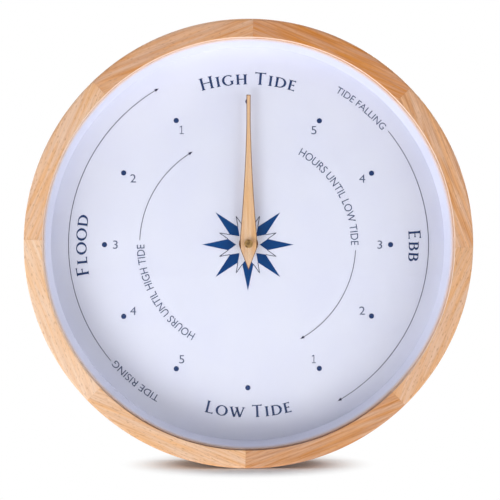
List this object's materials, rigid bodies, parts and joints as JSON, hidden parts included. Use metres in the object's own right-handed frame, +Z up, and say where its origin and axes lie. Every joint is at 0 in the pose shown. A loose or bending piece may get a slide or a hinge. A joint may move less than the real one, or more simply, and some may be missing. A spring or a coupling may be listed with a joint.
{
  "type": "tide clock",
  "caption": "Round wall tide clock: a segmented beech ring frame, flat glass, white printed dial and one tapered wooden hand turned by a battery movement behind the dial.",
  "frame": {"origin": "centre of the hanging hole, at the back face of the hanger tab, where the wall screw carries the clock", "axes": "+Z up the wall, +X to the viewer's right, -Y out of the wall towards the viewer; the dial's middle is 38.6 mm below the origin"},
  "size_m": [0.26, 0.0466, 0.26],
  "materials": {
    "beech": "satin oiled",
    "pale_beech": "raw, laser-browned edges",
    "clear_glass": "polished",
    "white_ring": "matt white",
    "white_dial": "matt white print",
    "fibreboard": "raw",
    "zinc_steel": "zinc plated",
    "rubber": "matt",
    "black_plastic": "fine moulded grain",
    "brass": "turned",
    "white_acetal": "moulded",
    "magnet": "sintered",
    "soft_iron": "stamped",
    "copper_wire": "enamelled wire",
    "circuit_laminate": "satin",
    "black_resin": "gloss",
    "nickel": "nickel plated",
    "battery_shell": "plain printed sleeve"
  },
  "bodies": {
    "clock_case": {"frame_segment_1": "beech", "frame_segment_2": "beech", "frame_segment_3": "beech", "frame_segment_4": "beech", "frame_segment_5": "beech", "frame_segment_6": "beech", "frame_segment_7": "beech", "frame_segment_8": "beech", "lens_glass": "clear_glass", "inner_ring": "white_ring", "dial_plate": "white_dial", "backing_board": "fibreboard", "framer_points": "zinc_steel", "hanger_bracket": "zinc_steel", "rubber_washer": "rubber", "movement_case": "black_plastic", "movement_cover": "black_plastic", "cover_screws": "zinc_steel", "gear_bridge": "white_acetal", "threaded_bush": "brass", "ring_nut": "brass", "stator": "soft_iron", "coil_core": "soft_iron", "coil_bobbin": "white_acetal", "coil_winding": "copper_wire", "circuit_board": "circuit_laminate", "chip_cap": "black_resin", "quartz_crystal": "nickel", "positive_contact": "nickel", "negative_contact": "nickel", "battery": "battery_shell"},
    "hand": {"tide_hand": "pale_beech", "hand_bush": "brass", "hand_tube": "brass", "tide_wheel": "white_acetal"},
    "minute_work": {"minute_wheel": "white_acetal", "setting_knob": "black_plastic"},
    "cannon": {"cannon_pinion": "brass"},
    "fourth": {"fourth_wheel": "white_acetal"},
    "third": {"third_wheel": "white_acetal"},
    "centre": {"centre_wheel": "white_acetal"},
    "fifth": {"fifth_wheel": "white_acetal"},
    "rotor": {"rotor_pinion": "white_acetal", "rotor_magnet": "magnet"}
  },
  "joints": [
    {"name": "hand_turn", "type": "hinge", "parent": "clock_case", "child": "hand", "pos_m": [0, -0.0219, -0.0386], "axis": [0, 1, 0], "continuous": true},
    {"name": "setting_knob_turn", "type": "hinge", "parent": "clock_case", "child": "minute_work", "pos_m": [-0.00974, 0, -0.03297], "axis": [0, 1, 0], "continuous": true},
    {"name": "cannon_turn", "type": "hinge", "parent": "clock_case", "child": "cannon", "pos_m": [0, -0.0219, -0.0386], "axis": [0, 1, 0], "continuous": true},
    {"name": "fourth_wheel_turn", "type": "hinge", "parent": "clock_case", "child": "fourth", "pos_m": [0.01561, 0, -0.02522], "axis": [0, 1, 0], "continuous": true},
    {"name": "third_wheel_turn", "type": "hinge", "parent": "clock_case", "child": "third", "pos_m": [0.00998, 0, -0.03497], "axis": [0, 1, 0], "continuous": true},
    {"name": "centre_wheel_turn", "type": "hinge", "parent": "clock_case", "child": "centre", "pos_m": [0, 0, -0.0386], "axis": [0, 1, 0], "continuous": true},
    {"name": "fifth_wheel_turn", "type": "hinge", "parent": "clock_case", "child": "fifth", "pos_m": [0.00716, 0, -0.02296], "axis": [0, 1, 0], "continuous": true},
    {"name": "rotor_turn", "type": "hinge", "parent": "clock_case", "child": "rotor", "pos_m": [-0.00034, 0, -0.0227], "axis": [0, 1, 0], "continuous": true}
  ],
  "couplings": [
    {"joint": "setting_knob_turn", "follows": "hand_turn", "ratio": -4},
    {"joint": "cannon_turn", "follows": "hand_turn", "ratio": 12},
    {"joint": "third_wheel_turn", "follows": "fourth_wheel_turn", "ratio": -0.125},
    {"joint": "centre_wheel_turn", "follows": "fourth_wheel_turn", "ratio": 0.016667},
    {"joint": "fifth_wheel_turn", "follows": "fourth_wheel_turn", "ratio": -6},
    {"joint": "rotor_turn", "follows": "fourth_wheel_turn", "ratio": 30}
  ]
}
